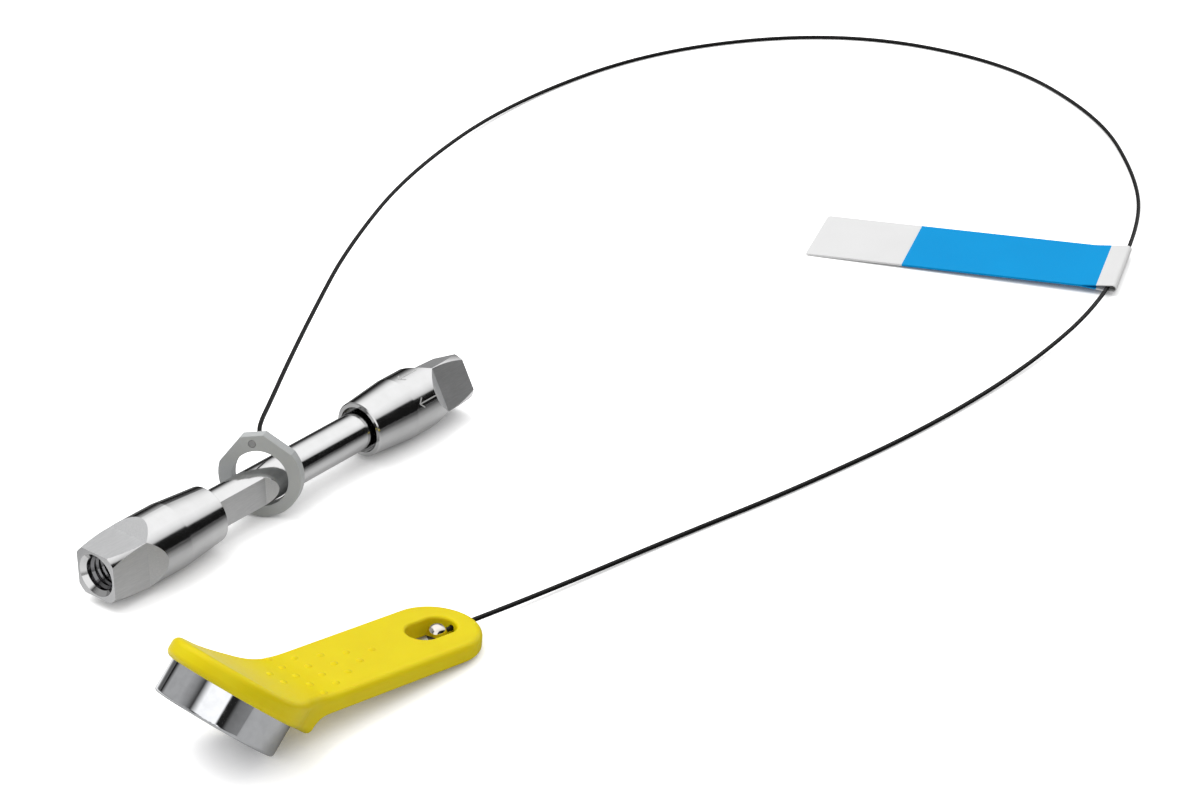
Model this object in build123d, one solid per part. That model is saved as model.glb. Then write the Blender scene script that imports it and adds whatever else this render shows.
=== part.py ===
from build123d import *
import os
from math import asin, atan2, cos, pi, radians, sin, sqrt, tan

# Short liquid-chromatography column with its tethered memory-chip key fob.
# Millimetres. The column lies along X: the start of the outlet port's thread is the origin, the
# flow runs towards -X and +Z is up. Everything rests on the plane z = -NUT_RADIUS.

os.makedirs("parts", exist_ok=True)

# ---------------------------------------------------------------- driving dimensions
BED_LENGTH = 50.0            # packed length between the frits
TUBE_RADIUS = 2.81
TUBE_BORE_RADIUS = 1.05      # 2.1 mm bore
TUBE_FLAT_DISTANCE = 1.86    # from the axis to each wrench flat
TUBE_FLAT_END = 9.4          # how far the flats run out of the outlet nut

NUT_LENGTH = 20.2
NUT_RADIUS = 4.77            # the middle of the nut, on which the column rests
NUT_FACE_RADIUS = 4.12       # where the rounded nose meets the end face
NUT_NOSE_LENGTH = 6.5
NUT_RIM_RADIUS = 4.11        # tube side
NUT_CONE_START = 12.8        # from the end face
NUT_FLAT_DISTANCE = 3.4      # from the axis to each of the four flats
NUT_FLAT_LENGTH = 6.1
NUT_SKIRT_RADIUS = 3.45      # clearance bore round the tube
NUT_SKIRT_DEPTH = 3.2
NUT_RIM_CHAMFER = 0.15
FLAT_RUNOUT_ANGLE = 30.0     # slope at the end of every milled flat
INLET_NUT_TURN = 26.5        # the inlet nut happens to stop at this angle

PORT_THREAD_RADIUS = 2.413   # 10-32 fitting port
PORT_THREAD_END = 5.6
PORT_COUNTERSINK_RADIUS = 3.05
PORT_SEAT_RADIUS = 1.6
PORT_SEAT_END = 7.2
PORT_TUBING_RADIUS = 0.82    # for 1/16 inch tubing
PORT_TUBING_END = 8.6
PASSAGE_RADIUS = 0.2
SPREAD_RADIUS = 1.0          # shallow cone that spreads the flow over the frit
SPREAD_DEPTH = 0.2

FRIT_RADIUS = 1.5
FRIT_THICKNESS = 0.8

RING_HOLE_RADIUS = 4.05      # smaller than the nut's rim, so the ring can't come off
RING_RADIUS = 5.94
RING_HOLE_SHIFT = 0.28       # the hole sits this far above the centre of the outside
RING_THICKNESS = 1.8
RING_TAB_HEIGHT = 6.27       # from the hole's centre to the flat top of the tab
RING_SHOULDER_DISTANCE = 5.78
RING_SHOULDER_ANGLE = 42.0   # between the tab's direction and the shoulder's normal
RING_EYE_HEIGHT = 5.1        # the cord's hole through the tab
RING_EYE_SIDE = -0.15
RING_EDGE_FILLET = 0.15
RING_STATION = 30.44         # where the ring stands along the tube
RING_OFFSET = 0.22
RING_YAW = 26.0              # the ring stands at a slant to the tube
RING_LEAN = 6.0
RING_ROLL = 10.0

CORD_DIAMETER = 0.65
STOP_RADIUS = 0.5            # crimped sleeve that ends the cord, let into the ring's front
STOP_LENGTH = 0.6
STOP_WALL = 0.15             # closed end of the sleeve
STOP_SINK = 0.04             # how far it stays under the ring's front
BALL_RADIUS = 1.35
BALL_PLACE = -0.77           # along the fob, from the centre of its round end
BALL_BORE_PAST_CENTRE = 0.6

FOB_WIDTH = 12.7
FOB_THICKNESS = 2.5
FOB_TOP_FILLET = 0.9
FOB_BOTTOM_FILLET = 0.5
FOB_BEND_ANGLE = 37.9        # between the handle and the head
FOB_BEND_RADIUS = 21.7
FOB_HEAD_RADIUS = 9.2
FOB_HEAD_UNDERSIDE = 4.3     # height of the head's underside over the can's lid
FOB_HEAD_TOP = 6.9
FOB_NECK_FILLET = 6.0
FOB_HEEL_FILLET = 3.0
FOB_SLOT_LENGTH = 7.3
FOB_SLOT_WIDTH = 4.6
FOB_SLOT_PLACE = 0.35
FOB_SLOT_FILLET = 0.4
FOB_CORD_HEIGHT = 1.3
FOB_DIRECTION = 173.7        # heading of the handle, from +X towards +Y
FOB_TAIL_X = 18.7
FOB_TAIL_Y = -40.71
GRIP_DOT_RADIUS = 0.5
GRIP_DOT_HEIGHT = 0.2
GRIP_DOT_START = 10.4
GRIP_DOT_PITCH_X = 3.08
GRIP_DOT_PITCH_Y = 2.6
GRIP_DOT_COLUMNS = (1, 2, 3, 4, 5, 2)

CAN_RADIUS = 8.125           # 16.25 mm steel memory can
CAN_HEIGHT = 5.89
CAN_FLANGE_RADIUS = 8.675
CAN_FLANGE_THICKNESS = 0.51
CAN_LID_FILLET = 0.4
CAN_REACH = 35.43            # from the tail's centre to the lid's centre, along the handle
CAN_DROP = 0.35              # the lid's centre over the handle's bottom plane

LABEL_LENGTH = 50.3
LABEL_WIDTH = 15.6
LABEL_FILM = 0.15            # one layer of film
LABEL_LOOP_RADIUS = 0.5
LABEL_LOOP_PLACE = -0.6
LABEL_CLOSE = 4.0            # where the two layers meet
LABEL_CORNER = 1.4
LABEL_DIRECTION = 112.5
LABEL_SAG = 1.1
LABEL_CORD_X = 172.1
LABEL_CORD_Y = -53.25
LABEL_CORD_Z = -3.5

# ---------------------------------------------------------------- clearances
THREAD_CLEARANCE = 0.03
PRESS_CLEARANCE = 0.01
SEAT_CLEARANCE = 0.06
CORD_CLEARANCE = 0.15        # the cord turns freely in the fob
CAN_CLEARANCE = 0.05

# ---------------------------------------------------------------- the cord's route
# Corners of the route from the ring to the fob. The first two and the last two lie on the
# axes of the ring's eye and of the fob's bore, and are worked out below.
CORD_POINTS = [
    (35.7, 5.5, 5.0),
    (42.7, 10.2, 4.1),
    (54.3, 18.2, 2.6),
    (72.1, 29.9, 0.6),
    (95.3, 44.4, -1.5),
    (126.6, 59.4, -3.4),
    (163.4, 67.7, -4.4),
    (201.5, 62.7, -4.4),
    (230.0, 40.3, -4.4),
    (236.2, 8.3, -4.4),
    (223.8, -19.3, -4.4),
    (204.1, -37.6, -4.1),
    (186.5, -48.4, -3.5),
    (157.8, -58.1, -3.5),
    (132.8, -59.9, -4.2),
    (107.2, -58.4, -4.4),
    (81.2, -53.8, -4.4),
    (59.7, -48.5, -4.4),
    (41.5, -44.7, -4.2),
]
CORD_RING_RUN = 1.5          # straight out of the ring before the first bend
CORD_FOB_RUN = 2.6           # straight out of the fob before its first bend

# ---------------------------------------------------------------- derived places
FLOOR = -NUT_RADIUS
FRIT_STATION = PORT_TUBING_END + 0.85
TUBE_START = FRIT_STATION + FRIT_THICKNESS
TUBE_END = TUBE_START + BED_LENGTH
COLUMN_LENGTH = TUBE_START * 2 + BED_LENGTH
THREAD_START = PORT_COUNTERSINK_RADIUS - PORT_THREAD_RADIUS
CORD_RADIUS = CORD_DIAMETER / 2


def turned(*outline):
    """A solid of revolution about X from edges drawn as (x, radius)."""
    section = Curve()
    for edge in outline:
        section += edge
    return revolve(Plane.XZ * make_face(section), Axis.X, 360)


def round_bar(radius, start, end):
    """A plain cylinder along X."""
    return Plane.YZ.offset(start) * extrude(Circle(radius), end - start)


def milled_flat(distance, start, end, reach):
    """A cutter that leaves a flat at +Z, with a sloped run-out at its end."""
    run_out = (reach - distance) / tan(radians(FLAT_RUNOUT_ANGLE))
    side = Polyline(
        (start, distance), (end, distance), (end + run_out, reach), (start, reach), close=True
    )
    return extrude(Plane.XZ * make_face(side), reach, both=True)


# ---------------------------------------------------------------- column
def end_nut():
    """Turned steel end fitting, drawn as the outlet one: its mouth at x = 0."""
    nose_drop = NUT_RADIUS - NUT_FACE_RADIUS
    nose_radius = (NUT_NOSE_LENGTH**2 + nose_drop**2) / (2 * nose_drop)
    half = NUT_NOSE_LENGTH / 2
    nose_middle = NUT_RADIUS - nose_radius + sqrt(nose_radius**2 - half**2)
    thread_radius = TUBE_RADIUS + THREAD_CLEARANCE
    skirt_start = NUT_LENGTH - NUT_SKIRT_DEPTH
    outside = ThreePointArc(
        (0, NUT_FACE_RADIUS), (half, nose_middle), (NUT_NOSE_LENGTH, NUT_RADIUS)
    )
    rest = Polyline(
        (NUT_NOSE_LENGTH, NUT_RADIUS),
        (NUT_CONE_START, NUT_RADIUS),
        (NUT_LENGTH - NUT_RIM_CHAMFER, NUT_RIM_RADIUS),
        (NUT_LENGTH, NUT_RIM_RADIUS - NUT_RIM_CHAMFER),
        (NUT_LENGTH, NUT_SKIRT_RADIUS),
        (skirt_start, NUT_SKIRT_RADIUS),
        (skirt_start, thread_radius),
        (FRIT_STATION, thread_radius),
        (FRIT_STATION, SPREAD_RADIUS),
        (FRIT_STATION - SPREAD_DEPTH, PASSAGE_RADIUS),
        (PORT_TUBING_END, PASSAGE_RADIUS),
        (PORT_TUBING_END, PORT_TUBING_RADIUS),
        (PORT_SEAT_END, PORT_TUBING_RADIUS),
        (PORT_THREAD_END, PORT_SEAT_RADIUS),
        (PORT_THREAD_END, PORT_THREAD_RADIUS),
        (THREAD_START, PORT_THREAD_RADIUS),
        (0, PORT_COUNTERSINK_RADIUS),
        (0, NUT_FACE_RADIUS),
    )
    nut = turned(outside, rest)
    cutter = milled_flat(NUT_FLAT_DISTANCE, -1, NUT_FLAT_LENGTH, NUT_RADIUS + 1)
    for turn in range(0, 360, 90):
        nut -= Rot(turn, 0, 0) * cutter
    return nut


def at_outlet(shape):
    """Move a piece drawn from the outlet's end face, so that the thread starts at x = 0."""
    return Pos(-THREAD_START, 0, 0) * shape


def at_inlet(shape):
    """Turn a piece of the outlet end round to the inlet end."""
    return at_outlet(Pos(COLUMN_LENGTH, 0, 0) * Rot(0, 0, 180) * shape)


def column_tube():
    tube = round_bar(TUBE_RADIUS, TUBE_START, TUBE_END)
    tube -= round_bar(TUBE_BORE_RADIUS, TUBE_START, TUBE_END)
    flats_start = NUT_LENGTH - NUT_SKIRT_DEPTH
    cutter = milled_flat(
        TUBE_FLAT_DISTANCE, flats_start, NUT_LENGTH + TUBE_FLAT_END, TUBE_RADIUS + 1
    )
    for turn in (90, 270):
        tube -= Rot(turn, 0, 0) * cutter
    return tube


def frit():
    return round_bar(FRIT_RADIUS - PRESS_CLEARANCE, FRIT_STATION, TUBE_START)


def frit_seal():
    seal = round_bar(TUBE_RADIUS, FRIT_STATION, TUBE_START)
    return seal - round_bar(FRIT_RADIUS, FRIT_STATION, TUBE_START)


def packed_bed():
    return round_bar(TUBE_BORE_RADIUS - PRESS_CLEARANCE, TUBE_START, TUBE_END)


# ---------------------------------------------------------------- captive ring
def ring_plane():
    """The ring's middle plane: local x across, y towards the tab, z out of its front."""
    yaw, lean = radians(RING_YAW), radians(RING_LEAN)
    front = Vector(-cos(yaw) * cos(lean), -sin(yaw) * cos(lean), sin(lean))
    across = Vector(0, 0, 1).cross(front).normalized()
    upright = front.cross(across)
    height = FLOOR + upright.Z * (RING_RADIUS - RING_HOLE_SHIFT) + front.Z * RING_THICKNESS / 2
    roll = radians(RING_ROLL)
    across = across * cos(roll) + upright * sin(roll)
    return Plane(origin=(RING_STATION, RING_OFFSET, height), x_dir=across, z_dir=front)


def captive_ring():
    """Moulded washer with a flat-topped tab; its hole's centre is the local origin."""
    roll = radians(RING_ROLL)
    shoulder = radians(RING_SHOULDER_ANGLE)
    centre = Vector(-RING_HOLE_SHIFT * sin(roll), RING_HOLE_SHIFT * cos(roll))
    half = (RING_SHOULDER_DISTANCE - RING_TAB_HEIGHT * cos(shoulder)) / sin(shoulder)
    ends = []
    for side in (1, -1):
        normal = Vector(side * sin(shoulder), cos(shoulder))
        downhill = Vector(side * cos(shoulder), -sin(shoulder))
        inset = RING_SHOULDER_DISTANCE - normal.dot(centre)
        ends.append(centre + normal * inset + downhill * sqrt(RING_RADIUS**2 - inset**2))
    top = Polyline(ends[1], (-half, RING_TAB_HEIGHT), (half, RING_TAB_HEIGHT), ends[0])
    round_side = ThreePointArc(ends[0], centre - Vector(0, RING_RADIUS), ends[1])
    ring = extrude(make_face(Curve() + top + round_side), RING_THICKNESS / 2, both=True)
    rims = [e for e in ring.edges() if abs(e.center().Z) > RING_THICKNESS / 2 - 0.001]
    ring = fillet(rims, RING_EDGE_FILLET)
    ring -= Cylinder(RING_HOLE_RADIUS, 2 * RING_THICKNESS)
    eye = Pos(RING_EYE_SIDE, RING_EYE_HEIGHT, 0)
    ring -= eye * Cylinder(CORD_RADIUS + PRESS_CLEARANCE, 2 * RING_THICKNESS)
    seat = STOP_LENGTH + STOP_SINK
    ring -= eye * Pos(0, 0, RING_THICKNESS / 2) * Cylinder(STOP_RADIUS + SEAT_CLEARANCE, 2 * seat)
    return ring_plane().location * ring


def cord_stop():
    """Sleeve crimped on the cord's end; it sits on the floor of its seat in the ring."""
    front = RING_THICKNESS / 2 - STOP_SINK
    sleeve = Pos(0, 0, front - STOP_LENGTH / 2) * Cylinder(STOP_RADIUS, STOP_LENGTH)
    bore = Pos(0, 0, front - STOP_WALL) * Cylinder(
        CORD_RADIUS + PRESS_CLEARANCE, 2 * (STOP_LENGTH - STOP_WALL)
    )
    bore -= Pos(0, 0, front) * Box(2, 2, 2 * STOP_WALL)
    sleeve -= bore
    return ring_plane().location * (Pos(RING_EYE_SIDE, RING_EYE_HEIGHT, 0) * sleeve)


# ---------------------------------------------------------------- fob
def fob_rest():
    """Pitch and height of the handle when the tail and the can's lid touch the floor."""
    tail = Vector(-(FOB_WIDTH / 2 - FOB_BOTTOM_FILLET), FOB_BOTTOM_FILLET)
    bend = radians(FOB_BEND_ANGLE)
    along = Vector(cos(bend), sin(bend))
    up = Vector(-sin(bend), cos(bend))
    lid = Vector(CAN_REACH, CAN_DROP) - along * (CAN_RADIUS - CAN_LID_FILLET) + up * CAN_LID_FILLET
    span = lid - tail
    pitch = -atan2(span.Y, span.X) + asin((CAN_LID_FILLET - FOB_BOTTOM_FILLET) / span.length)
    height = FLOOR + FOB_BOTTOM_FILLET - (tail.X * sin(pitch) + tail.Y * cos(pitch))
    return pitch, height


def fob_plane():
    """Local x along the handle towards the head, y to its side, z up from its bottom."""
    pitch, height = fob_rest()
    heading = radians(FOB_DIRECTION)
    forward = Vector(cos(heading) * cos(pitch), sin(heading) * cos(pitch), sin(pitch))
    side = Vector(0, 0, 1).cross(forward).normalized()
    return Plane(
        origin=(FOB_TAIL_X, FOB_TAIL_Y, height), x_dir=forward, z_dir=forward.cross(side)
    )


def can_plane():
    """In the fob's frame: the lid's centre, x up the head, z into the fob."""
    bend = radians(FOB_BEND_ANGLE)
    return Plane(
        origin=(CAN_REACH, 0, CAN_DROP),
        x_dir=(cos(bend), 0, sin(bend)),
        z_dir=(-sin(bend), 0, cos(bend)),
    )


def head_point(along, height):
    """A point (x, z) of the fob's side view, given in the can's frame."""
    bend = radians(FOB_BEND_ANGLE)
    return (
        CAN_REACH + along * cos(bend) - height * sin(bend),
        CAN_DROP + along * sin(bend) + height * cos(bend),
    )


def bend_start():
    """Where the handle's flat top turns into the curve up to the head."""
    bend = radians(FOB_BEND_ANGLE)
    top = head_point(0, FOB_HEAD_TOP)
    corner = top[0] - (top[1] - FOB_THICKNESS) / tan(bend)
    return corner - FOB_BEND_RADIUS * tan(bend / 2)


def fob_side_view():
    """The moulding's side view, with the curve to the head and the heel behind the can."""
    bend = radians(FOB_BEND_ANGLE)
    reach = FOB_HEAD_RADIUS + 1
    start = bend_start()
    arc_mid = (
        start + FOB_BEND_RADIUS * sin(bend / 2),
        FOB_THICKNESS + FOB_BEND_RADIUS * (1 - cos(bend / 2)),
    )
    arc_end = (
        start + FOB_BEND_RADIUS * sin(bend),
        FOB_THICKNESS + FOB_BEND_RADIUS * (1 - cos(bend)),
    )
    heel = head_point(-FOB_HEAD_RADIUS, FOB_HEAD_UNDERSIDE)
    heel_root = heel[0] + heel[1] * tan(bend)
    tip_low = head_point(reach, FOB_HEAD_UNDERSIDE)
    tip_high = head_point(reach, FOB_HEAD_TOP)
    tail = -FOB_WIDTH / 2 - 1
    outline = Curve() + Line((tail, FOB_THICKNESS), (start, FOB_THICKNESS))
    outline += ThreePointArc((start, FOB_THICKNESS), arc_mid, arc_end)
    outline += Polyline(
        arc_end, tip_high, tip_low, heel, (heel_root, 0), (tail, 0), (tail, FOB_THICKNESS)
    )
    view = make_face(outline)
    root = view.vertices().sort_by_distance((heel_root, 0, 0))[0]
    return fillet(root, FOB_HEEL_FILLET)


def fob_blank():
    """Side view cut to the plan: a round-ended handle and a round head."""
    slab = extrude(Plane.XZ * fob_side_view(), FOB_HEAD_RADIUS + 1, both=True)
    split = bend_start()
    handle_plan = Circle(FOB_WIDTH / 2) + Pos(split / 2, 0) * Rectangle(split, FOB_WIDTH)
    handle = extrude(handle_plan, FOB_THICKNESS + 2, both=True)
    strip = 3 * FOB_HEAD_RADIUS
    head_plan = Circle(FOB_HEAD_RADIUS) + Pos(-strip / 2, 0) * Rectangle(strip, FOB_WIDTH)
    necks = [v for v in head_plan.vertices() if -FOB_HEAD_RADIUS < v.X < -1]
    head_plan = fillet(necks, FOB_NECK_FILLET)
    head = extrude(can_plane() * head_plan, 2 * strip, both=True)
    room = Pos(split + strip, 0, 0) * Box(2 * strip, 2 * strip, 4 * strip)
    head = head & room
    return slab & (handle + head)


def grip_dots():
    """A wedge of small raised dots, which follow the top where it curves up."""
    start = bend_start()
    ball = (GRIP_DOT_RADIUS**2 + GRIP_DOT_HEIGHT**2) / (2 * GRIP_DOT_HEIGHT)
    dots = []
    for column, count in enumerate(GRIP_DOT_COLUMNS):
        x = GRIP_DOT_START + column * GRIP_DOT_PITCH_X
        turn = asin(max(0.0, x - start) / FOB_BEND_RADIUS)
        sink = ball - GRIP_DOT_HEIGHT
        z = FOB_THICKNESS + FOB_BEND_RADIUS * (1 - cos(turn))
        for row in range(count):
            y = (row - (count - 1) / 2) * GRIP_DOT_PITCH_Y
            dots.append(Pos(x + sink * sin(turn), y, z - sink * cos(turn)) * Sphere(ball))
    return dots


def rims(faces):
    """Edges that these faces share with the rest of the body."""
    edges = [edge for face in faces for edge in face.edges()]
    return [e for e in edges if sum(e.is_same(other) for other in edges) == 1]


def fob_body():
    body = fob_blank()
    top = [f for f in body.faces() if f.normal_at().Z > 0.5]
    body = fillet(rims(top), FOB_TOP_FILLET)
    heel = head_point(-FOB_HEAD_RADIUS, FOB_HEAD_UNDERSIDE)
    heel_edge = body.edges().sort_by_distance((heel[0], 0, heel[1]))[0]
    bottom = [f for f in body.faces() if f.normal_at().Z < -0.5 and f.normal_at().Y**2 < 0.01]
    body = fillet(rims(bottom) + [heel_edge], FOB_BOTTOM_FILLET)
    slot = Pos(FOB_SLOT_PLACE, 0, 0) * SlotOverall(FOB_SLOT_LENGTH, FOB_SLOT_WIDTH)
    body -= extrude(slot, FOB_THICKNESS + 2, both=True)
    slot_sides = FOB_SLOT_WIDTH / 2 + 0.01
    slot_rim = [
        e for e in body.edges()
        if abs(e.center().Y) < slot_sides and -4 < e.center().X < 5 and e.length > 4
        and abs(e.center().Z - FOB_THICKNESS) < 0.001
    ]
    body = fillet(slot_rim, FOB_SLOT_FILLET)
    tail_end = FOB_WIDTH / 2 + 1
    bore = Plane.YZ.offset(-tail_end) * Circle(CORD_RADIUS + CORD_CLEARANCE)
    body -= Pos(0, 0, FOB_CORD_HEIGHT) * extrude(bore, tail_end - 2)
    body -= can_plane() * can_pocket()
    for dot in grip_dots():
        body += dot
    return fob_plane().location * body


def can_pocket():
    """Round pocket with a groove that traps the can's flange."""
    mouth = Cylinder(CAN_RADIUS + CAN_CLEARANCE, 2 * CAN_HEIGHT)
    groove_low = CAN_HEIGHT - CAN_FLANGE_THICKNESS
    groove = Pos(0, 0, groove_low + CAN_FLANGE_THICKNESS / 2) * Cylinder(
        CAN_FLANGE_RADIUS + CAN_CLEARANCE, CAN_FLANGE_THICKNESS
    )
    return mouth + groove


def memory_can():
    """Sealed steel can: a drawn cup with a flange at its inner end."""
    cup = Pos(0, 0, CAN_HEIGHT / 2) * Cylinder(CAN_RADIUS, CAN_HEIGHT)
    lid_edge = cup.edges().filter_by(GeomType.CIRCLE).sort_by(Axis.Z)[0]
    cup = fillet(lid_edge, CAN_LID_FILLET)
    flange = Pos(0, 0, CAN_HEIGHT - CAN_FLANGE_THICKNESS / 2) * Cylinder(
        CAN_FLANGE_RADIUS, CAN_FLANGE_THICKNESS
    )
    return fob_plane().location * (can_plane() * (cup + flange))


def crimp_ball():
    ball = Sphere(BALL_RADIUS)
    bore_depth = BALL_RADIUS + BALL_BORE_PAST_CENTRE
    bore = Plane.YZ.offset(-BALL_RADIUS) * extrude(Circle(CORD_RADIUS + PRESS_CLEARANCE), bore_depth)
    return fob_plane().location * (Pos(BALL_PLACE, 0, FOB_CORD_HEIGHT) * (ball - bore))


# ---------------------------------------------------------------- cord and label
def cord_route():
    ring, fob = ring_plane(), fob_plane()
    eye = ring.origin + ring.x_dir * RING_EYE_SIDE + ring.y_dir * RING_EYE_HEIGHT
    start = eye + ring.z_dir * (RING_THICKNESS / 2 - STOP_SINK - STOP_WALL)
    leave = eye - ring.z_dir * (RING_THICKNESS / 2 + CORD_RING_RUN)
    axis_start = fob.origin + fob.z_dir * FOB_CORD_HEIGHT
    arrive = axis_start - fob.x_dir * (FOB_WIDTH / 2 + CORD_FOB_RUN)
    end = axis_start + fob.x_dir * (BALL_PLACE + BALL_BORE_PAST_CENTRE)
    return [start, leave] + [Vector(*p) for p in CORD_POINTS] + [arrive, end]


def corner_radii(route):
    """At each corner, the largest arc that its two runs allow."""
    radii = []
    for before, corner, after in zip(route, route[1:], route[2:]):
        run_in, run_out = corner - before, after - corner
        turn = radians(run_in.get_angle(run_out))
        radii.append(0.45 * min(run_in.length, run_out.length) / tan(turn / 2))
    return radii


def tether_cord():
    route = cord_route()
    radii = corner_radii(route)
    path = FilletPolyline(*route, radius=radii)
    start = Plane(origin=path @ 0, z_dir=path % 0)
    cord = sweep(start * Circle(CORD_RADIUS), path=path)
    section = pi * CORD_RADIUS**2
    print("cord radii", [round(r, 1) for r in radii])
    print("cord length", round(path.length, 2), "volume over section", round(cord.volume / section, 2))
    return cord


def label_flag():
    """A film strip folded over the cord and stuck to itself; x runs away from the cord."""
    outer = LABEL_LOOP_RADIUS + LABEL_FILM
    middle = (LABEL_CLOSE + LABEL_LENGTH) / 2
    end = LABEL_LENGTH + LABEL_LOOP_PLACE - outer

    loop_out = ThreePointArc(
        (LABEL_LOOP_PLACE, outer), (LABEL_LOOP_PLACE - outer, 0), (LABEL_LOOP_PLACE, -outer)
    )
    under = Line((LABEL_LOOP_PLACE, -outer), (LABEL_CLOSE, -LABEL_FILM))
    sag_low = ThreePointArc(
        (LABEL_CLOSE, -LABEL_FILM), (middle, -LABEL_SAG - LABEL_FILM), (end, -LABEL_FILM)
    )
    tip = Line((end, -LABEL_FILM), (end, LABEL_FILM))
    sag_high = ThreePointArc(
        (end, LABEL_FILM), (middle, -LABEL_SAG + LABEL_FILM), (LABEL_CLOSE, LABEL_FILM)
    )
    over = Line((LABEL_CLOSE, LABEL_FILM), (LABEL_LOOP_PLACE, outer))
    face = make_face(Curve() + loop_out + under + sag_low + tip + sag_high + over)
    hole_out = ThreePointArc(
        (LABEL_LOOP_PLACE, LABEL_LOOP_RADIUS),
        (LABEL_LOOP_PLACE - LABEL_LOOP_RADIUS, 0),
        (LABEL_LOOP_PLACE, -LABEL_LOOP_RADIUS),
    )
    hole = make_face(
        Curve()
        + hole_out
        + Line((LABEL_LOOP_PLACE, -LABEL_LOOP_RADIUS), (LABEL_CLOSE - LABEL_FILM, 0))
        + Line((LABEL_CLOSE - LABEL_FILM, 0), (LABEL_LOOP_PLACE, LABEL_LOOP_RADIUS))
    )
    flag = extrude(Plane.XZ * (face - hole), LABEL_WIDTH / 2, both=True)
    corners = [e for e in flag.edges().filter_by(Axis.Z) if e.center().X > end - 0.1]
    flag = fillet(corners, LABEL_CORNER)
    place = Pos(LABEL_CORD_X, LABEL_CORD_Y, LABEL_CORD_Z) * Rot(0, 0, LABEL_DIRECTION)
    return place * flag


# ---------------------------------------------------------------- write the parts
PARTS = {
    "column_tube": at_outlet(column_tube()),
    "outlet_end_nut": at_outlet(end_nut()),
    "inlet_end_nut": at_inlet(Rot(INLET_NUT_TURN, 0, 0) * end_nut()),
    "outlet_frit": at_outlet(frit()),
    "inlet_frit": at_inlet(frit()),
    "outlet_frit_seal": at_outlet(frit_seal()),
    "inlet_frit_seal": at_inlet(frit_seal()),
    "packed_bed": at_outlet(packed_bed()),
    "captive_ring": captive_ring(),
    "cord_stop": cord_stop(),
    "tether_cord": tether_cord(),
    "label_flag": label_flag(),
    "crimp_ball": crimp_ball(),
    "fob_body": fob_body(),
    "memory_can": memory_can(),
}

for name, shape in PARTS.items():
    export_step(shape, f"parts/{name}.step")
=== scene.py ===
from math import cos, pi, radians, sin, tan

import bpy
from mathutils import Matrix, Vector


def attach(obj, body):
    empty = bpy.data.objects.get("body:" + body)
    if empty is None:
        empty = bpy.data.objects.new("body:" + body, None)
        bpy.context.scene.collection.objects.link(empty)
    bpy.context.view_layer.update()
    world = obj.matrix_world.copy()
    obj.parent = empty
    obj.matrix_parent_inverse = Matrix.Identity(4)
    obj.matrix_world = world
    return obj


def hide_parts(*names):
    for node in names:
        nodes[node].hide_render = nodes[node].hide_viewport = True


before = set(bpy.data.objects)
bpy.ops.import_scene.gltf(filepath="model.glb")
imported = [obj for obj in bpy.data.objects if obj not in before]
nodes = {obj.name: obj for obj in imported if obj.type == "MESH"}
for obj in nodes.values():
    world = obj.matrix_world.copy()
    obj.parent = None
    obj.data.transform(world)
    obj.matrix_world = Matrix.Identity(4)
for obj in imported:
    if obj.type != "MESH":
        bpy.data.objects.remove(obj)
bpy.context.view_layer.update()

scene = bpy.context.scene
scene.view_settings.view_transform = "Standard"

MM = 0.001
FLOOR = -4.77 * MM
COLUMN_START = -0.637 * MM    # the outlet nut's end face
COLUMN_END = 69.863 * MM      # the inlet nut's end face
RUN_OUT = tan(radians(30.0))  # slope at the end of every milled flat
QUARTER = pi / 2


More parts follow.
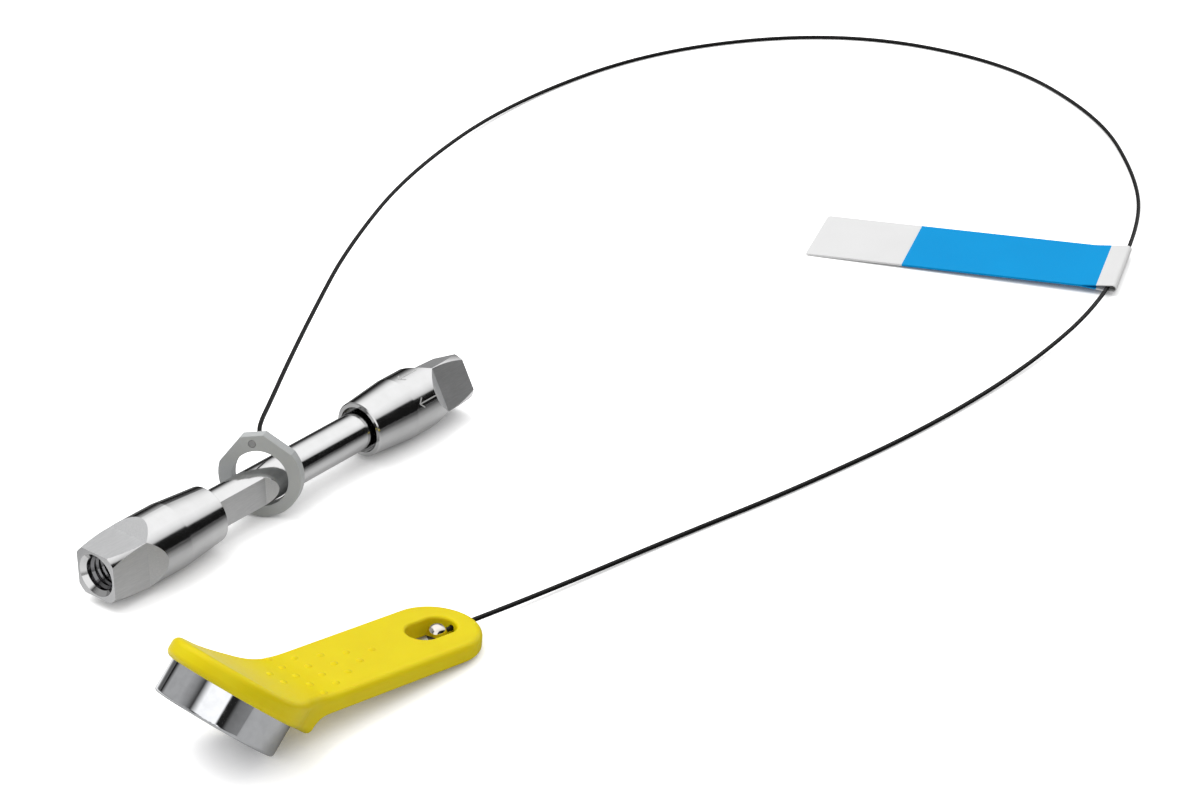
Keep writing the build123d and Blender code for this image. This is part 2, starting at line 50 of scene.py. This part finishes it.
# ---------------------------------------------------------------- node helpers
class Nodes:
    """A small builder for one node tree."""

    def __init__(self, tree):
        self.tree = tree

    def add(self, kind, **values):
        node = self.tree.nodes.new(kind)
        for name, value in values.items():
            setattr(node, name, value)
        return node

    def link(self, source, target):
        self.tree.links.new(source, target)

    def math(self, operation, first, second=None):
        node = self.add("ShaderNodeMath", operation=operation)
        for socket, value in zip(node.inputs, (first, second)):
            if value is None:
                continue
            if isinstance(value, (int, float)):
                socket.default_value = value
            else:
                self.link(value, socket)
        return node.outputs[0]

    def position(self):
        return self.add("ShaderNodeTexCoord").outputs["Object"]

    def split(self, vector):
        node = self.add("ShaderNodeSeparateXYZ")
        self.link(vector, node.inputs[0])
        return node.outputs

    def scaled(self, vector, scale):
        node = self.add("ShaderNodeMapping")
        self.link(vector, node.inputs["Vector"])
        node.inputs["Scale"].default_value = scale
        return node.outputs[0]

    def noise(self, vector, scale, detail=3.0, roughness=0.5):
        node = self.add("ShaderNodeTexNoise")
        self.link(vector, node.inputs["Vector"])
        node.inputs["Scale"].default_value = scale
        node.inputs["Detail"].default_value = detail
        node.inputs["Roughness"].default_value = roughness
        return node.outputs["Fac"]

    def ramp(self, factor, stops):
        node = self.add("ShaderNodeValToRGB")
        self.link(factor, node.inputs[0])
        band = node.color_ramp
        while len(band.elements) < len(stops):
            band.elements.new(0.5)
        for element, (place, colour) in zip(band.elements, stops):
            element.position = place
            element.color = (*colour, 1)
        return node.outputs[0]

    def grey_ramp(self, factor, stops):
        return self.ramp(factor, [(place, (level,) * 3) for place, level in stops])

    def range(self, value, low, high, out_low=0.0, out_high=1.0):
        node = self.add("ShaderNodeMapRange")
        self.link(value, node.inputs["Value"])
        node.inputs["From Min"].default_value = low
        node.inputs["From Max"].default_value = high
        node.inputs["To Min"].default_value = out_low
        node.inputs["To Max"].default_value = out_high
        return node.outputs[0]

    def mix(self, factor, first, second):
        node = self.add("ShaderNodeMix", data_type="RGBA")
        self.link(factor, node.inputs[0])
        for socket, value in ((node.inputs[6], first), (node.inputs[7], second)):
            if isinstance(value, tuple):
                socket.default_value = (*value, 1)
            else:
                self.link(value, socket)
        return node.outputs[2]

    def bump(self, height, strength, distance):
        node = self.add("ShaderNodeBump")
        node.inputs["Strength"].default_value = strength
        node.inputs["Distance"].default_value = distance
        self.link(height, node.inputs["Height"])
        return node.outputs[0]


def add_object(name, data):
    made = bpy.data.objects.new(name, data)
    scene.collection.objects.link(made)
    return made


def material(name, **constants):
    """A Principled material and its builder; constants go straight on the shader's sockets."""
    made = bpy.data.materials.new(name)
    made.use_nodes = True
    shader = made.node_tree.nodes["Principled BSDF"]
    for socket, value in constants.items():
        shader.inputs[socket.replace("_", " ")].default_value = value
    return made, Nodes(made.node_tree), shader


# ---------------------------------------------------------------- metals
FACE_TOLERANCE = 0.012 * MM   # how near a point lies to the plane of a machined face
# radii over which the bore's painted shade fades out, and its dark colour
BORE_EDGE = (2.40 * MM, 2.44 * MM)
BORE_PAINTED_SHADE = (0.16, 0.16, 0.165)


def milled_mask(n, place, flats):
    """1 on the milled flats and their sloped run-outs; flats are (angle, distance, end, way)."""
    x, y, z = n.split(place)
    mask = None
    for angle, distance, end, way in flats:
        across = n.math("MULTIPLY", y, sin(angle))
        upright = n.math("MULTIPLY", z, cos(angle))
        height = n.math("ABSOLUTE", n.math("ADD", across, upright))
        past = n.math("MULTIPLY", n.math("SUBTRACT", x, end), way * RUN_OUT)
        surface = n.math("ADD", n.math("MAXIMUM", past, 0.0), distance)
        gap = n.math("ABSOLUTE", n.math("SUBTRACT", height, surface))
        face = n.math("LESS_THAN", gap, FACE_TOLERANCE)
        mask = face if mask is None else n.math("MAXIMUM", mask, face)
    return mask


def turned_steel(name, flats, face=None, light=0.56, rough=0.10):
    """Turned steel with rings round X and brushed flats; a nut has a face, and its bore is
    painted dark as shade.
    """
    made, n, shader = material(name, Metallic=1.0)
    place = n.position()
    x, y, z = n.split(place)
    rings = n.noise(n.scaled(place, (9000, 60, 60)), 1.0, 4.0, 0.6)
    cloud = n.noise(place, 420, 3.0)
    strokes = n.noise(n.scaled(place, (700, 9000, 9000)), 1.0, 4.0, 0.65)
    base = n.ramp(cloud, [(0.3, (light - 0.03,) * 3), (0.7, (light, light, light * 1.005))])
    roughness = n.range(cloud, 0.3, 0.7, rough, rough + 0.04)
    height = rings
    if flats:
        milled = milled_mask(n, place, flats)
        if face is not None:
            gap = n.math("ABSOLUTE", n.math("SUBTRACT", x, face))
            milled = n.math("MAXIMUM", milled, n.math("LESS_THAN", gap, FACE_TOLERANCE))
        ground = n.ramp(strokes, [(0.3, (0.47, 0.475, 0.48)), (0.7, (0.57, 0.57, 0.575))])
        base = n.mix(milled, base, ground)
        roughness = n.math("ADD", roughness, n.math("MULTIPLY", milled, 0.28))
        drop = n.math("SUBTRACT", strokes, rings)
        height = n.math("ADD", rings, n.math("MULTIPLY", milled, drop))
        matt = n.math("MULTIPLY", milled, 0.25)
        n.link(n.math("SUBTRACT", 1.0, matt), shader.inputs["Metallic"])
    if face is not None:
        # painted shade: inside the bore radius the colour goes dark
        square = n.math("ADD", n.math("MULTIPLY", y, y), n.math("MULTIPLY", z, z))
        radius = n.math("SQRT", square)
        base = n.mix(n.range(radius, *BORE_EDGE), BORE_PAINTED_SHADE, base)
    n.link(base, shader.inputs["Base Color"])
    n.link(roughness, shader.inputs["Roughness"])
    n.link(n.bump(height, 0.12, 0.01 * MM), shader.inputs["Normal"])
    return made


def polished_metal(name, colour, rough):
    """Bright polished metal with faint wear."""
    made, n, shader = material(name, Metallic=1.0)
    place = n.position()
    wear = n.noise(place, 900, 4.0)
    scratch = n.noise(n.scaled(place, (400, 6000, 1200)), 1.0, 5.0, 0.7)
    shade = tuple(c * 0.93 for c in colour)
    n.link(n.ramp(wear, [(0.35, shade), (0.6, colour)]), shader.inputs["Base Color"])
    n.link(n.range(wear, 0.3, 0.7, rough, rough + 0.03), shader.inputs["Roughness"])
    n.link(n.bump(scratch, 0.03, 0.004 * MM), shader.inputs["Normal"])
    return made


# ---------------------------------------------------------------- plastics and the rest
def moulded(name, dark, light, rough, grain, depth, scatter=0.0, sheen=0.35):
    """Moulded plastic: a little colour variation, fine grain and a soft sheen."""
    made, n, shader = material(name, Specular_IOR_Level=sheen)
    shader.inputs["Subsurface Weight"].default_value = scatter
    shader.inputs["Subsurface Radius"].default_value = (1.0, 0.6, 0.1)
    shader.inputs["Subsurface Scale"].default_value = 0.6 * MM
    place = n.position()
    cloud = n.noise(place, 160, 3.0)
    pores = n.noise(place, grain, 4.0, 0.6)
    n.link(n.ramp(cloud, [(0.3, dark), (0.7, light)]), shader.inputs["Base Color"])
    n.link(n.range(pores, 0.3, 0.7, rough - 0.04, rough + 0.06), shader.inputs["Roughness"])
    n.link(n.bump(pores, 0.25, depth), shader.inputs["Normal"])
    return made


def powder(name, dark, light, rough, scale):
    """Packed beads or sintered grains, each lighter in its middle and darker at its rim: painted
    shade between the grains.
    """
    made, n, shader = material(name, Roughness=rough)
    place = n.position()
    cells = n.add("ShaderNodeTexVoronoi")
    cells.inputs["Scale"].default_value = scale
    n.link(place, cells.inputs["Vector"])
    # painted shade: the colour darkens from each grain's middle to its rim
    grains = n.ramp(cells.outputs["Distance"], [(0.1, light), (0.6, dark)])
    n.link(grains, shader.inputs["Base Color"])
    n.link(n.bump(cells.outputs["Distance"], 0.4, 0.02 * MM), shader.inputs["Normal"])
    return made


def printed_film(name, fold, direction, print_start, print_end):
    """Label film, blue between white ends; distances run along the flag from its fold."""
    made, n, shader = material(name, Roughness=0.5, Specular_IOR_Level=0.1)
    place = n.position()
    x, y, z = n.split(place)
    along_x = n.math("MULTIPLY", n.math("SUBTRACT", x, fold[0]), cos(direction))
    along_y = n.math("MULTIPLY", n.math("SUBTRACT", y, fold[1]), sin(direction))
    along = n.math("ADD", along_x, along_y)
    inked = n.math(
        "MULTIPLY",
        n.math("GREATER_THAN", along, print_start),
        n.math("LESS_THAN", along, print_end),
    )
    cloud = n.noise(place, 90, 2.0)
    paper = n.ramp(cloud, [(0.3, (0.88, 0.88, 0.88)), (0.7, (0.91, 0.91, 0.91))])
    ink = n.ramp(cloud, [(0.3, (0.0, 0.345, 0.78)), (0.7, (0.0, 0.365, 0.81))])
    n.link(n.mix(inked, paper, ink), shader.inputs["Base Color"])
    ripple = n.noise(place, 260, 3.0)
    n.link(n.bump(ripple, 0.1, 0.02 * MM), shader.inputs["Normal"])
    return made


def dress(name, finish):
    node = nodes[name]
    node.data.materials.clear()
    node.data.materials.append(finish)


NUT_FLAT = 3.4 * MM
NUT_FLAT_LENGTH = 6.1 * MM
TUBE_FLAT = 1.86 * MM
TUBE_FLAT_END = 28.963 * MM
INLET_TURN = radians(26.5)
near_end = COLUMN_START + NUT_FLAT_LENGTH
far_end = COLUMN_END - NUT_FLAT_LENGTH
near_flats = [(turn, NUT_FLAT, near_end, 1) for turn in (0.0, QUARTER)]
far_flats = [(turn, NUT_FLAT, far_end, -1) for turn in (INLET_TURN, INLET_TURN + QUARTER)]
outlet_steel = turned_steel("outlet_steel", near_flats, COLUMN_START)
inlet_steel = turned_steel("inlet_steel", far_flats, COLUMN_END)
tube_steel = turned_steel("tube_steel", [(QUARTER, TUBE_FLAT, TUBE_FLAT_END, 1)])
chrome = polished_metal("chrome", (0.62, 0.58, 0.53), 0.05)
can_steel = polished_metal("can_steel", (0.69, 0.70, 0.72), 0.05)
stop_metal = polished_metal("stop_metal", (0.46, 0.46, 0.46), 0.42)
yellow = moulded(
    "yellow_plastic",
    dark=(0.90, 0.72, 0.001),
    light=(0.94, 0.77, 0.002),
    rough=0.36,
    grain=2600,
    depth=0.02 * MM,
    scatter=0.3,
    sheen=0.25,
)
grey = moulded(
    "grey_plastic",
    dark=(0.52, 0.535, 0.535),
    light=(0.58, 0.595, 0.595),
    rough=0.5,
    grain=4200,
    depth=0.03 * MM,
)
black = moulded(
    "black_jacket",
    dark=(0.004, 0.004, 0.004),
    light=(0.008, 0.008, 0.008),
    rough=0.42,
    grain=5200,
    depth=0.01 * MM,
    sheen=0.2,
)
seal = moulded(
    "seal_polymer",
    dark=(0.42, 0.30, 0.16),
    light=(0.50, 0.37, 0.21),
    rough=0.4,
    grain=3000,
    depth=0.01 * MM,
)
laser = moulded(
    "laser_mark",
    dark=(0.50, 0.50, 0.50),
    light=(0.62, 0.62, 0.62),
    rough=0.6,
    grain=9000,
    depth=0.01 * MM,
)
frit_grains = powder("frit_grains", (0.12, 0.12, 0.12), (0.35, 0.35, 0.35), 0.5, 16000)
bed_grains = powder("bed_grains", (0.70, 0.70, 0.68), (0.88, 0.88, 0.86), 0.8, 22000)

LABEL_PLACE = Vector((169.16, -54.24, -3.5)) * MM    # where the cord passes through the fold
LABEL_DIRECTION = radians(110.7)
LABEL_LENGTH = 50.3 * MM
LABEL_WIDTH = 15.4 * MM
LABEL_FILM = 0.15 * MM
LABEL_LOOP = 0.5 * MM          # inside radius of the fold
LABEL_BACK = 0.2 * MM          # from the cord to the middle of the fold's curve
LABEL_CLOSE = 5.0 * MM         # where the two layers meet
LABEL_DROP = 1.08 * MM         # the free end lies on the table
LABEL_CORNER = 0.5 * MM
PRINT_START = 2.4 * MM
PRINT_END = 33.6 * MM
film = printed_film("label_film", LABEL_PLACE, LABEL_DIRECTION, PRINT_START, PRINT_END)

dress("inlet_end_nut", inlet_steel)
dress("outlet_end_nut", outlet_steel)
dress("column_tube", tube_steel)
for end in ("inlet", "outlet"):
    dress(end + "_frit", frit_grains)
    dress(end + "_frit_seal", seal)
dress("packed_bed", bed_grains)
dress("captive_ring", grey)
dress("cord_stop", stop_metal)
dress("crimp_ball", chrome)
dress("fob_body", yellow)
dress("memory_can", can_steel)
dress("tether_cord", black)


# ---------------------------------------------------------------- the label
LAYER_GAP = 0.004 * MM         # from the middle to each stuck layer
CORNER_STEPS = (0.0, 0.04 * MM, 0.15 * MM, 0.3 * MM, 0.5 * MM)
FOLD_STEPS = 16
STRAIGHT_STEPS = 10


def film_path():
    """The film's middle line as (along, height), from the lower free end round the fold."""
    half = LABEL_FILM / 2 + LAYER_GAP
    loop = LABEL_LOOP + LABEL_FILM / 2
    end = LABEL_LENGTH - LABEL_BACK - LABEL_LOOP - LABEL_FILM
    straight = [end - step for step in CORNER_STEPS]
    for i in range(1, STRAIGHT_STEPS + 1):
        straight.append(end + (LABEL_CLOSE - end) * i / STRAIGHT_STEPS)
    lower = [(x, -half) for x in straight]
    curve = []
    for i in range(FOLD_STEPS + 1):
        angle = -QUARTER - pi * i / FOLD_STEPS
        curve.append((-LABEL_BACK + loop * cos(angle), loop * sin(angle)))
    return lower + curve + [(x, half) for x in reversed(straight)], end


def label():
    """The strip folded over the cord and stuck to itself; it slopes down to its free end."""
    path, end = film_path()
    points, faces = [], []
    out = (cos(LABEL_DIRECTION), sin(LABEL_DIRECTION))
    across = (-out[1], out[0])
    for i, (x, z) in enumerate(path):
        before, after = path[max(i - 1, 0)], path[min(i + 1, len(path) - 1)]
        run = Vector((after[0] - before[0], after[1] - before[1])).normalized()
        inset = max(0.0, x - end + LABEL_CORNER)
        half = LABEL_WIDTH / 2 - LABEL_CORNER + (LABEL_CORNER**2 - inset**2) ** 0.5
        for side, face in ((-1, -1), (1, -1), (1, 1), (-1, 1)):
            s = x - run.y * face * LABEL_FILM / 2
            h = z + run.x * face * LABEL_FILM / 2
            h -= LABEL_DROP * max(0.0, s) / end
            w = side * half
            reach = (s * out[0] + w * across[0], s * out[1] + w * across[1], h)
            points.append(LABEL_PLACE + Vector(reach))
    last = 4 * (len(path) - 1)
    for a in range(0, last, 4):
        faces += [(a + j, a + 4 + j, a + 4 + (j + 1) % 4, a + (j + 1) % 4) for j in range(4)]
    faces += [(0, 1, 2, 3), (last + 3, last + 2, last + 1, last)]
    mesh = bpy.data.meshes.new("label_strip")
    mesh.from_pydata(points, [], faces)
    for polygon in mesh.polygons:
        polygon.use_smooth = True
    mesh.set_sharp_from_angle(angle=radians(40))
    mesh.update()
    strip = add_object("label_strip", mesh)
    mesh.materials.append(film)
    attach(strip, "tether")
    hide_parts("label_flag")
    return strip


label_strip = label()

# ---------------------------------------------------------------- the cord
# The same route as the solid cord's, in millimetres: out of the ring and into the fob.
EYE_IN = (29.822, 1.068, 5.996)
EYE_OUT = (32.602, 2.424, 5.671)
FOB_OUT = (27.688, -41.702, -3.871)
FOB_IN = (19.032, -40.747, -2.754)
CORD_POINTS = [
    EYE_IN,
    EYE_OUT,
    (35.7, 5.5, 5.0),
    (42.7, 10.2, 4.1),
    (54.3, 18.2, 2.6),
    (72.1, 29.9, 0.6),
    (95.3, 44.4, -1.5),
    (126.6, 59.4, -3.4),
    (163.4, 67.7, -4.4),
    (201.5, 62.7, -4.4),
    (230.0, 40.3, -4.4),
    (236.2, 8.3, -4.4),
    (223.8, -19.3, -4.4),
    (204.1, -37.6, -4.1),
    (186.5, -48.4, -3.5),
    (157.8, -58.1, -3.5),
    (132.8, -59.9, -4.2),
    (107.2, -58.4, -4.4),
    (81.2, -53.8, -4.4),
    (59.7, -48.5, -4.4),
    (41.5, -44.7, -4.2),
    FOB_OUT,
    FOB_IN,
]
CORD_RADIUS = 0.325 * MM

line = bpy.data.curves.new("tether_line", "CURVE")
line.dimensions = "3D"
spline = line.splines.new("NURBS")
spline.points.add(len(CORD_POINTS) - 1)
for point, corner in zip(spline.points, CORD_POINTS):
    point.co = (*(value * MM for value in corner), 1)
spline.order_u = 3
spline.use_endpoint_u = True
spline.resolution_u = 16
line.bevel_depth = CORD_RADIUS
line.bevel_resolution = 5
line.use_fill_caps = True
tether = add_object("tether_line", line)
line.materials.append(black)
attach(tether, "tether")
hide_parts("tether_cord")


# ---------------------------------------------------------------- port threads
THREAD_PITCH = 25.4 / 32 * MM
THREAD_MAJOR = 2.425 * MM
THREAD_MINOR = 2.06 * MM
THREAD_LENGTH = 4.75 * MM
THREAD_START = 0.25 * MM
THREAD_END = 5.05 * MM
THREAD_STEPS = 48              # to a turn
# the ridge's section, as (part of the pitch, radius)
THREAD_RIDGE = [
    (-0.46, THREAD_MAJOR),
    (-0.07, THREAD_MINOR),
    (0.07, THREAD_MINOR),
    (0.46, THREAD_MAJOR),
]
INLET_MOUTH = 69.226 * MM


def thread(name, mouth, sign, turn=0.0):
    """A 10-32 internal thread as a swept ridge that stands on the port's wall."""
    count = int(THREAD_LENGTH / THREAD_PITCH * THREAD_STEPS)
    points, faces = [], []
    for i in range(count + 1):
        turns = i / THREAD_STEPS
        angle = sign * 2 * pi * turns + turn
        fade = min(1.0, turns * 1.5, (count - i) / THREAD_STEPS * 3)
        for offset, radius in THREAD_RIDGE:
            height = THREAD_MAJOR - (THREAD_MAJOR - radius) * fade
            along = THREAD_PITCH * (turns + offset) + THREAD_START
            along = min(max(along, 0.0), THREAD_END)
            points.append((mouth + sign * along, height * cos(angle), height * sin(angle)))
    width = len(THREAD_RIDGE)
    for i in range(count):
        for j in range(width):
            a = i * width + j
            b = i * width + (j + 1) % width
            faces.append((a, b, b + width, a + width))
    faces.append(tuple(range(width)))
    faces.append(tuple(count * width + j for j in reversed(range(width))))
    mesh = bpy.data.meshes.new(name)
    mesh.from_pydata(points, [], faces)
    mesh.update()
    ridge = add_object(name, mesh)
    mesh.materials.append(thread_steel_painted_shade)
    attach(ridge, "column")


# painted shade inside the port: the thread steel is dark (0.2) and takes the bore's painted shade
thread_steel_painted_shade = turned_steel("thread_steel_painted_shade", [], 0.5, 0.2)
thread("outlet_thread", 0.0, 1)
thread("inlet_thread", INLET_MOUTH, -1, 1.0)


# ---------------------------------------------------------------- flow arrows
ARROW_COUNT = 6
ARROW_TURN = radians(154.5)
ARROW_TIP = 57.95 * MM
ARROW_LENGTH = 3.7 * MM
ARROW_HEAD = 0.75 * MM
ARROW_STROKE = 0.19 * MM
ARROW_DEPTH = -0.05 * MM       # the marks start inside the steel and stand a hair proud of it
ARROW_RISE = 0.012 * MM
ARROW_STEPS = 3
NUT_RADIUS = 4.77 * MM


def stroke(start, end):
    """A thin closed bar wrapped on the nut, from one (x, arc) to another."""
    run = (end[0] - start[0], end[1] - start[1])
    size = (run[0] ** 2 + run[1] ** 2) ** 0.5
    side = (-run[1] / size * ARROW_STROKE / 2, run[0] / size * ARROW_STROKE / 2)
    corners = ((-1, ARROW_DEPTH), (1, ARROW_DEPTH), (1, ARROW_RISE), (-1, ARROW_RISE))
    points, faces = [], []
    for i in range(ARROW_STEPS + 1):
        x = start[0] + run[0] * i / ARROW_STEPS
        arc = start[1] + run[1] * i / ARROW_STEPS
        for way, lift in corners:
            angle = (arc + way * side[1]) / NUT_RADIUS
            radius = NUT_RADIUS + lift
            points.append((x + way * side[0], radius * cos(angle), radius * sin(angle)))
    for i in range(ARROW_STEPS):
        a = 4 * i
        faces += [(a + j, a + (j + 1) % 4, a + (j + 1) % 4 + 4, a + j + 4) for j in range(4)]
    faces += [(3, 2, 1, 0), tuple(4 * ARROW_STEPS + j for j in range(4))]
    return points, faces


def flow_marks():
    """Laser-marked arrows round the inlet nut that point into the tube."""
    points, faces = [], []
    for i in range(ARROW_COUNT):
        arc = (ARROW_TURN + i * 2 * pi / ARROW_COUNT) * NUT_RADIUS
        tip = (ARROW_TIP, arc)
        ends = [
            (ARROW_TIP + ARROW_LENGTH, arc),
            (ARROW_TIP + ARROW_HEAD, arc + ARROW_HEAD),
            (ARROW_TIP + ARROW_HEAD, arc - ARROW_HEAD),
        ]
        for end in ends:
            more, sides = stroke(tip, end)
            faces += [tuple(len(points) + j for j in side) for side in sides]
            points += more
    mesh = bpy.data.meshes.new("flow_marks")
    mesh.from_pydata(points, [], faces)
    mesh.update()
    marks = add_object("flow_marks", mesh)
    mesh.materials.append(laser)
    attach(marks, "column")


flow_marks()


# ---------------------------------------------------------------- camera
CAMERA_PLACE = (-0.22051, -0.25768, 0.20303)
CAMERA_HEADING = (0.7836, 0.6213)
CAMERA_PITCH = radians(28.06)   # below the horizon
CAMERA_LENS = 90.03


def place_camera():
    """The photograph's own camera, found from the memory can and the port."""
    data = bpy.data.cameras.new("camera")
    data.lens = CAMERA_LENS
    data.sensor_width = 36.0
    data.clip_start = 0.02
    data.clip_end = 50
    camera = add_object("camera", data)
    x, y = CAMERA_HEADING
    level = cos(CAMERA_PITCH)
    ahead = Vector((x * level, y * level, -sin(CAMERA_PITCH))).normalized()
    right = Vector((y, -x, 0)).normalized()
    up = right.cross(ahead)
    turn = Matrix((right, up, -ahead)).transposed()
    camera.matrix_world = Matrix.Translation(CAMERA_PLACE) @ turn.to_4x4()
    scene.camera = camera


place_camera()


# ---------------------------------------------------------------- floor, world and lights
WHITE_RAYS = ("Is Camera Ray", "Is Glossy Ray", "Is Transmission Ray")


def white_rays(n):
    """1 for the rays that show the white background."""
    rays = n.add("ShaderNodeLightPath")
    seen = rays.outputs[WHITE_RAYS[0]]
    for kind in WHITE_RAYS[1:]:
        seen = n.math("MAXIMUM", seen, rays.outputs[kind])
    return seen


CONTACT_REACH = 8 * MM         # how far from the part the floor's glow is dimmed, a painted contact shadow
FLOOR_LIFT = 1.0
FLOOR_HALF = 3.0
FLOOR_GAP = 0.02 * MM
MIRROR_REACH = 60 * MM
# painted reflection shade: how much darker metal sees the floor, by the distance from the column
# over MIRROR_REACH
MIRROR_PAINTED_SHADE = [(0.083, 0.33), (0.117, 0.42), (0.167, 0.55), (0.25, 0.7), (0.5, 0.86), (1.0, 0.92)]
FOB_SIDE_X = (8 * MM, 16 * MM)    # round the fob the painted reflection shade is a little weaker
FOB_SIDE_Y = (-30 * MM, -24 * MM)
FOB_SIDE_LIGHT = 0.25


def floor_with_painted_reflection_shade(n, paper):
    """The floor as metal sees it: darker away from the column, as in the photograph."""
    # painted reflection shade: glossy rays see the floor blended toward black, more away from the
    # column
    x, y, z = n.split(n.position())
    away = n.range(n.math("ABSOLUTE", y), 0.0, MIRROR_REACH)
    in_x = n.range(x, *FOB_SIDE_X, 1.0, 0.0)
    in_y = n.range(y, *FOB_SIDE_Y, FOB_SIDE_LIGHT, 0.0)
    rest = n.math("SUBTRACT", 1.0, n.math("MULTIPLY", in_y, in_x))
    fall = n.math("MULTIPLY", n.grey_ramp(away, MIRROR_PAINTED_SHADE), rest)
    glossy = n.add("ShaderNodeLightPath").outputs["Is Glossy Ray"]
    dark = n.add("ShaderNodeEmission")
    dark.inputs["Strength"].default_value = 0.0
    both = n.add("ShaderNodeMixShader")
    n.link(n.math("MULTIPLY", glossy, fall), both.inputs[0])
    n.link(paper, both.inputs[1])
    n.link(dark.outputs[0], both.inputs[2])
    return both.outputs[0]


def make_floor():
    """A pale floor that shows white; near the part ambient occlusion dims its glow, a painted
    contact shadow over the real one.
    """
    low = FLOOR - FLOOR_GAP
    corners = [(-1, -1), (1, -1), (1, 1), (-1, 1)]
    mesh = bpy.data.meshes.new("floor")
    mesh.from_pydata(
        [(x * FLOOR_HALF, y * FLOOR_HALF, low) for x, y in corners], [], [(0, 1, 2, 3)]
    )
    floor = add_object("floor", mesh)
    paper, n, shader = material("floor_paper", Roughness=1.0, Specular_IOR_Level=0.0)
    shader.inputs["Base Color"].default_value = (0.80, 0.80, 0.80, 1)
    shader.inputs["Emission Color"].default_value = (1, 1, 1, 1)
    # painted contact shadow: ambient occlusion dims the floor's glow near the part
    painted_contact_shadow = n.add("ShaderNodeAmbientOcclusion")
    painted_contact_shadow.samples = 4
    painted_contact_shadow.inputs["Distance"].default_value = CONTACT_REACH
    seen = n.math("MULTIPLY", white_rays(n), FLOOR_LIFT)
    lift = n.math("MULTIPLY", seen, painted_contact_shadow.outputs["AO"])
    n.link(lift, shader.inputs["Emission Strength"])
    surface = n.tree.nodes["Material Output"].inputs["Surface"]
    n.link(floor_with_painted_reflection_shade(n, shader.outputs[0]), surface)
    mesh.materials.append(paper)


def make_world():
    """White where it is seen or mirrored, and a plain soft light."""
    world = bpy.data.worlds.new("studio")
    scene.world = world
    world.use_nodes = True
    n = Nodes(world.node_tree)
    n.tree.nodes.clear()
    way = n.add("ShaderNodeTexCoord").outputs["Generated"]
    x, y, z = n.split(way)
    sky = n.grey_ramp(z, [(0.0, 0.35), (0.9, 0.6)])
    colour = n.mix(white_rays(n), sky, (1.0, 1.0, 1.0))
    back = n.add("ShaderNodeBackground")
    n.link(colour, back.inputs["Color"])
    out = n.add("ShaderNodeOutputWorld")
    n.link(back.outputs[0], out.inputs["Surface"])


DOME_RADIUS = 1.6
DOME_ROWS = 24
DOME_COLUMNS = 48
# brightness of the studio's sides, after the reflections that the photograph shows
CAMERA_SIDE = [(0.0, 0.01), (0.08, 0.9), (0.2, 1.15), (0.4, 1.4), (0.7, 1.6)]
FAR_SIDE = [(0.17, 0.01), (0.31, 0.2), (0.44, 0.68), (0.55, 1.2), (0.7, 1.6)]
LEFT_SIDE = [
    (0.0, 0.3),
    (0.07, 0.2),
    (0.10, 0.02),
    (0.16, 0.02),
    (0.18, 1.5),
    (0.46, 1.4),
    (0.57, 0.04),
    (0.66, 0.3),
    (0.8, 0.5),
]


def dome_mesh():
    rows, columns = DOME_ROWS, DOME_COLUMNS
    points, faces = [], []
    for i in range(rows):
        up = QUARTER * i / rows
        for j in range(columns):
            turn = 2 * pi * j / columns
            points.append((cos(up) * cos(turn), cos(up) * sin(turn), sin(up)))
    points.append((0, 0, 1))
    for i in range(rows - 1):
        for j in range(columns):
            k = (j + 1) % columns
            a, b = i * columns, (i + 1) * columns
            faces.append((a + j, b + j, b + k, a + k))
    last = (rows - 1) * columns
    faces += [(last + j, len(points) - 1, last + (j + 1) % columns) for j in range(columns)]
    mesh = bpy.data.meshes.new("studio_dome")
    mesh.from_pydata([tuple(c * DOME_RADIUS for c in p) for p in points], [], faces)
    mesh.update()
    return mesh


def make_dome():
    """The studio that the metal mirrors: dark walls under a bright ceiling."""
    mesh = dome_mesh()
    dome = add_object("studio_dome", mesh)
    for kind in ("camera", "diffuse", "transmission", "volume_scatter", "shadow"):
        setattr(dome, "visible_" + kind, False)
    paint = bpy.data.materials.new("studio_walls")
    paint.use_nodes = True
    paint.cycles.emission_sampling = "NONE"
    n = Nodes(paint.node_tree)
    n.tree.nodes.clear()
    x, y, z = n.split(n.scaled(n.position(), (1 / DOME_RADIUS,) * 3))
    edge = n.math("ADD", n.math("MULTIPLY", x, 0.34), n.math("MULTIPLY", y, 1.045))
    past = n.math("ADD", z, edge)
    camera_side = n.grey_ramp(past, CAMERA_SIDE)
    far_side = n.grey_ramp(z, FAR_SIDE)
    walls = n.mix(n.range(y, -0.2, 0.3), camera_side, far_side)
    left_side = n.grey_ramp(n.range(y, -1.0, 1.0), LEFT_SIDE)
    on_left = n.range(x, -0.15, 0.0, 1.0, 0.0)
    under_ceiling = n.range(z, 0.76, 0.86, 1.0, 0.0)
    walls = n.mix(n.math("MULTIPLY", on_left, under_ceiling), walls, left_side)
    glow = n.add("ShaderNodeEmission")
    n.link(walls, glow.inputs["Color"])
    out = n.add("ShaderNodeOutputMaterial")
    n.link(glow.outputs[0], out.inputs["Surface"])
    mesh.materials.append(paint)


def soft_light(name, place, target, size, energy):
    data = bpy.data.lights.new(name, "AREA")
    data.shape = "SQUARE"
    data.size = size
    data.energy = energy
    lamp = add_object(name, data)
    lamp.location = place
    lamp.rotation_mode = "QUATERNION"
    lamp.rotation_quaternion = (Vector(target) - Vector(place)).to_track_quat("-Z", "Y")
    lamp.visible_glossy = False


make_floor()
make_world()
make_dome()
soft_light("key", (0.0, 0.45, 0.85), (0.1, 0, 0), 0.8, 5.5)
